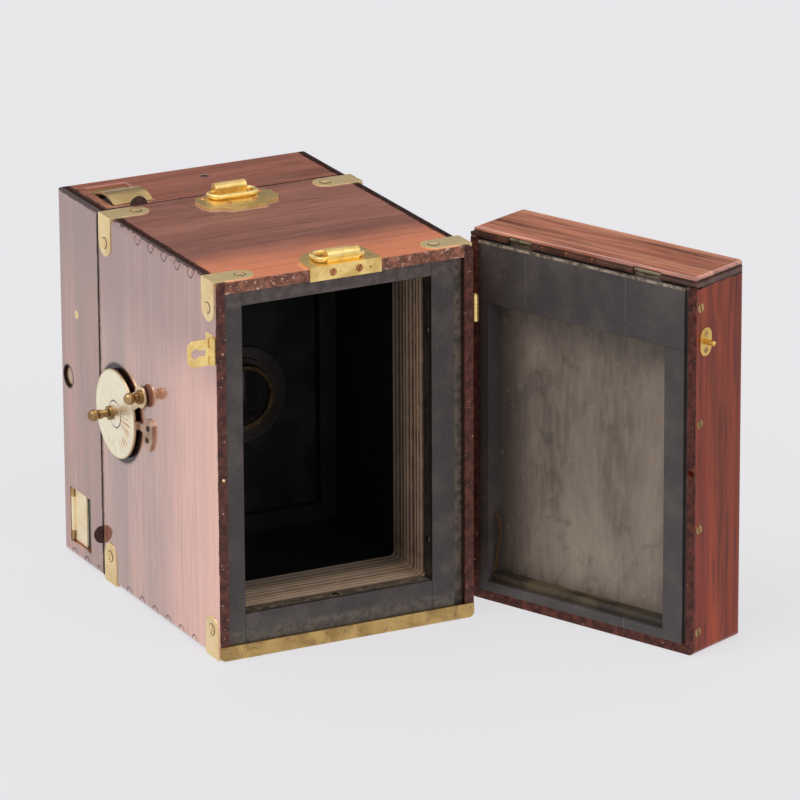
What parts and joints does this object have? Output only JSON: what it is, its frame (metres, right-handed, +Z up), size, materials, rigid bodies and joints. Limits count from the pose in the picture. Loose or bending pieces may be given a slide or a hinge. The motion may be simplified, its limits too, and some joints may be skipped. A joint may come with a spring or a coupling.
{
  "type": "detective camera",
  "caption": "Wooden box camera with hinged front, internal lens carriage on bellows, side focusing disc, brass corner brackets and a lift-off plate back.",
  "frame": {"origin": "on the base, under the middle of the main case's width and depth", "axes": "+Z up, -Y the way the lens looks, +X the side with the focusing disc"},
  "size_m": [0.267, 0.2981, 0.208],
  "materials": {
    "rosewood": "french polished, dark streaks",
    "blackened_wood": "satin black, dusty",
    "recess_board": "mottled grey brown",
    "lacquered_brass": "lacquered, lightly worn",
    "aged_brass": "darkened, scratched",
    "screw_metal": "dull",
    "dark_metal": "blackened",
    "barrel_brass": "browned",
    "bellows_leather": "matte, folded",
    "tab_leather": "worn",
    "optics": "clear",
    "dark_button": "turned and polished"
  },
  "bodies": {
    "camera_body": {"case_left_side": "rosewood", "case_right_side": "rosewood", "case_top": "rosewood", "case_bottom": "rosewood", "rear_frame": "blackened_wood", "frame_screws": "screw_metal", "sill_strip": "aged_brass", "corner_brackets": "lacquered_brass", "bracket_screws": "lacquered_brass", "handle_plate_front": "lacquered_brass", "handle_plate_rear": "lacquered_brass", "fitting_screws": "screw_metal", "hasp_hinges": "lacquered_brass", "locating_pin": "lacquered_brass", "carriage_runners": "blackened_wood", "focus_bush": "lacquered_brass", "click_spring": "aged_brass", "front_hinges_fixed": "lacquered_brass", "bellows": "bellows_leather"},
    "lens_carriage": {"carriage_box": "blackened_wood", "lens_board": "blackened_wood", "lens_flange": "dark_metal", "flange_screws": "aged_brass", "lens_barrel": "barrel_brass", "lens_glasses": "optics", "focus_rack": "lacquered_brass"},
    "disc": {"focus_disc": "lacquered_brass", "focus_spindle": "lacquered_brass", "focus_knob": "aged_brass"},
    "clamp": {"clamp_disc": "lacquered_brass", "clamp_knob": "aged_brass"},
    "front_section": {"front_sides": "rosewood", "front_top_bottom": "rosewood", "front_panel": "rosewood", "front_hinge_leaves": "lacquered_brass", "pull_tabs": "tab_leather", "finder_boxes": "blackened_wood", "finder_optics": "optics", "finder_hinges": "lacquered_brass", "shutter_board": "blackened_wood"},
    "top_finder_lid": {"finder_lid_top": "lacquered_brass"},
    "side_finder_lid": {"finder_lid_side": "aged_brass"},
    "shutter": {"shutter_blade": "dark_metal"},
    "button": {"release_button": "dark_button"},
    "hasp_left": {"hasp_plate_left": "lacquered_brass"},
    "hasp_right": {"hasp_plate_right": "lacquered_brass"},
    "front_ring": {"ring_front": "lacquered_brass"},
    "rear_ring": {"ring_rear": "lacquered_brass"},
    "back": {"back_boards": "rosewood", "back_panel": "rosewood", "back_frame": "blackened_wood", "recess_panel": "recess_board", "plate_ledge": "blackened_wood", "plate_spring": "dark_metal", "stud_plates": "lacquered_brass", "back_screws": "screw_metal", "lid_hinges_fixed": "aged_brass"},
    "lid": {"back_lid": "rosewood", "lid_hinge_leaves": "aged_brass", "lid_catch": "dark_metal"}
  },
  "joints": [
    {"name": "carriage_slide", "type": "slide", "parent": "camera_body", "child": "lens_carriage", "axis": [0, -1, 0], "range_m": [0, 0.016], "deforming": ["bellows"]},
    {"name": "disc_turn", "type": "hinge", "parent": "camera_body", "child": "disc", "pos_m": [0.075, -0.0465, 0.098], "axis": [1, 0, 0], "range_deg": [0, 218.3]},
    {"name": "clamp_turn", "type": "hinge", "parent": "disc", "child": "clamp", "pos_m": [0.075, -0.0465, 0.098], "axis": [1, 0, 0], "range_deg": [-90, 0]},
    {"name": "front_hinge", "type": "hinge", "parent": "camera_body", "child": "front_section", "pos_m": [-0.0739, -0.071, 0.1], "axis": [0, 0, -1], "range_deg": [0, 100]},
    {"name": "top_finder_lid_hinge", "type": "hinge", "parent": "front_section", "child": "top_finder_lid", "pos_m": [0.049, -0.1015, 0.1988], "axis": [1, 0, 0], "range_deg": [0, 100]},
    {"name": "side_finder_lid_hinge", "type": "hinge", "parent": "front_section", "child": "side_finder_lid", "pos_m": [0.0707, -0.1112, 0.023], "axis": [0, 0, -1], "range_deg": [0, 100]},
    {"name": "shutter_swing", "type": "hinge", "parent": "front_section", "child": "shutter", "pos_m": [0.0042, -0.1065, 0.136], "axis": [0, 1, 0], "range_deg": [0, 75]},
    {"name": "button_slide", "type": "slide", "parent": "front_section", "child": "button", "axis": [-1, 0, 0], "range_m": [0, 0.0025], "stiffness_N_per_m": 400, "springref_m": -0.001},
    {"name": "hasp_left_hinge", "type": "hinge", "parent": "camera_body", "child": "hasp_left", "pos_m": [0.0744, 0.0701, 0.1655], "axis": [0, 0, 1], "range_deg": [-90, 90]},
    {"name": "hasp_right_hinge", "type": "hinge", "parent": "camera_body", "child": "hasp_right", "pos_m": [-0.0744, 0.0677, 0.1655], "axis": [0, 0, -1], "range_deg": [0, 180]},
    {"name": "front_ring_hinge", "type": "hinge", "parent": "camera_body", "child": "front_ring", "pos_m": [0, -0.0644, 0.2028], "axis": [1, 0, 0], "range_deg": [0, 170]},
    {"name": "rear_ring_hinge", "type": "hinge", "parent": "camera_body", "child": "rear_ring", "pos_m": [0, 0.0661, 0.2028], "axis": [-1, 0, 0], "range_deg": [0, 90]},
    {"name": "back_lift", "type": "hinge", "parent": "camera_body", "child": "back", "pos_m": [-0.06907, 0.05236, 0.1], "axis": [0, 0, 1], "range_deg": [-113.69, 20]},
    {"name": "lid_hinge", "type": "hinge", "parent": "back", "child": "lid", "pos_m": [-0.11691, 0.10679, 0.197], "axis": [-0.4018, 0.9157, 0], "range_deg": [0, 100]}
  ],
  "couplings": [
    {"joint": "disc_turn", "follows": "carriage_slide", "rad_per_m": 238.1}
  ]
}
